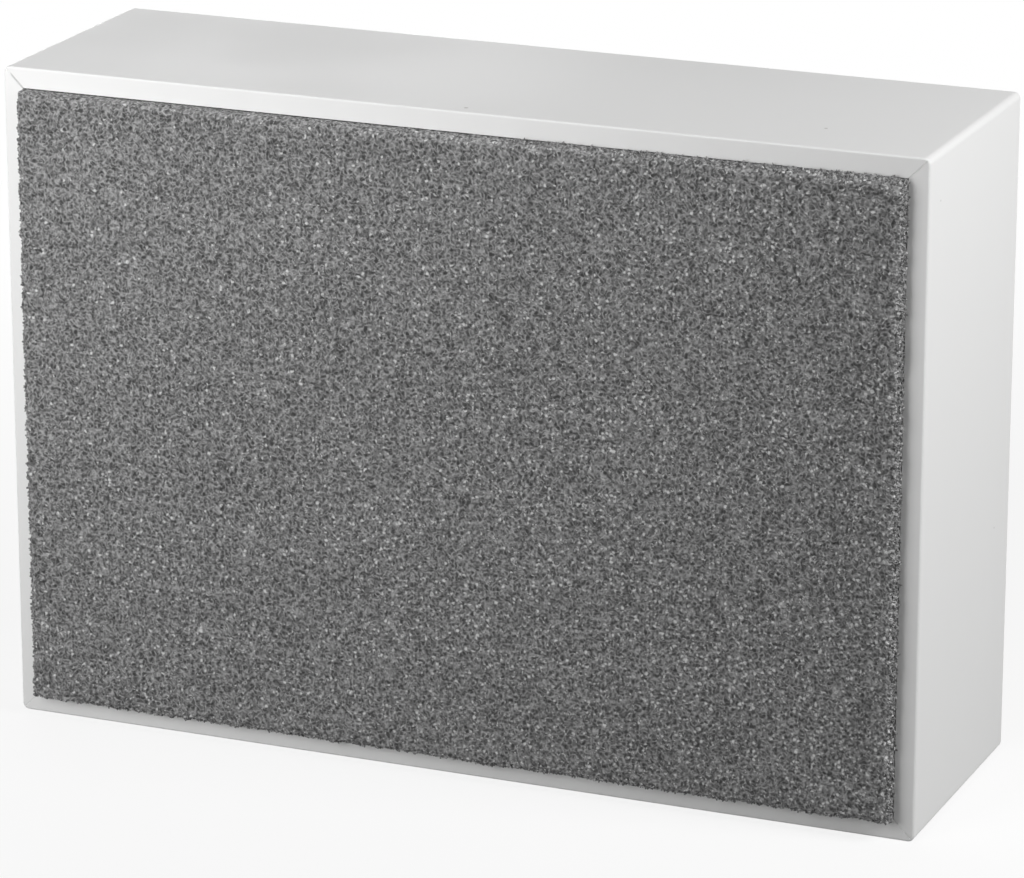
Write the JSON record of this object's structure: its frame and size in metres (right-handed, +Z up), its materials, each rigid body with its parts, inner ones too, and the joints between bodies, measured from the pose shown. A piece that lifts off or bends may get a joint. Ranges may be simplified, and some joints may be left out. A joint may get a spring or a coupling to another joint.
{
  "type": "wall speaker",
  "caption": "Shallow white wall speaker: a mitred wooden box with a grey foam front, a dual-cone driver and line transformer inside, terminals and keyhole hangers on the back.",
  "frame": {"origin": "centre of the back, on the wall plane", "axes": "+X to the right as seen from the front, +Y into the wall, +Z up; the foam front looks along -Y"},
  "size_m": [0.264, 0.083, 0.186],
  "materials": {
    "cabinet_foil": "matt white foil on board",
    "raw_board": "bare fibreboard",
    "dark_board": "black stained fibreboard",
    "foam": "open-cell foam",
    "zinc_steel": "zinc plated",
    "basket_paint": "black lacquer",
    "bright_steel": "passivated",
    "ferrite": "ground ferrite",
    "paper": "pressed paper pulp",
    "cloth": "resin-treated cloth",
    "kraft": "kraft paper",
    "gasket": "closed-cell strip",
    "copper": "lacquered copper wire",
    "black_plastic": "moulded",
    "cream_plastic": "moulded",
    "phenolic": "phenolic paper board",
    "brass": "plain",
    "laminations": "varnished laminations",
    "tape": "polyester tape",
    "wire_skin": "soft sleeve"
  },
  "bodies": {
    "cabinet": {"wall_top": "cabinet_foil", "wall_bottom": "cabinet_foil", "wall_left": "cabinet_foil", "wall_right": "cabinet_foil", "corner_block_top_left": "raw_board", "corner_block_top_right": "raw_board", "corner_block_bottom_left": "raw_board", "corner_block_bottom_right": "raw_board", "baffle_board": "dark_board", "foam_front": "foam", "rear_panel": "raw_board", "rear_panel_screws": "zinc_steel", "hanger_plate_left": "zinc_steel", "hanger_plate_right": "zinc_steel", "hanger_screws": "zinc_steel", "terminal_cup": "black_plastic", "terminal_cup_screws": "zinc_steel", "terminal_strip": "cream_plastic", "terminal_clamps": "brass", "terminal_screws": "zinc_steel", "driver_gasket": "gasket", "driver_basket": "basket_paint", "driver_surround": "cloth", "driver_spider": "cloth", "magnet_top_plate": "bright_steel", "magnet_ring": "ferrite", "magnet_yoke": "bright_steel", "driver_tag_board": "phenolic", "driver_tags": "brass", "tinsel_leads": "copper", "driver_screws": "zinc_steel", "transformer_core": "laminations", "transformer_bobbin": "cream_plastic", "transformer_winding": "tape", "transformer_pins": "brass", "transformer_bracket": "zinc_steel", "transformer_screws": "zinc_steel", "line_wires": "wire_skin", "speaker_wires": "wire_skin"},
    "diaphragm": {"driver_cone": "paper", "driver_whizzer": "paper", "driver_dust_cap": "paper", "coil_former": "kraft", "coil_winding": "copper"}
  },
  "joints": [
    {"name": "diaphragm_travel", "type": "slide", "parent": "cabinet", "child": "diaphragm", "axis": [0, -1, 0], "range_m": [-0.0015, 0.0015], "stiffness_N_per_m": 1500, "deforming": ["driver_surround", "driver_spider", "tinsel_leads"]}
  ]
}
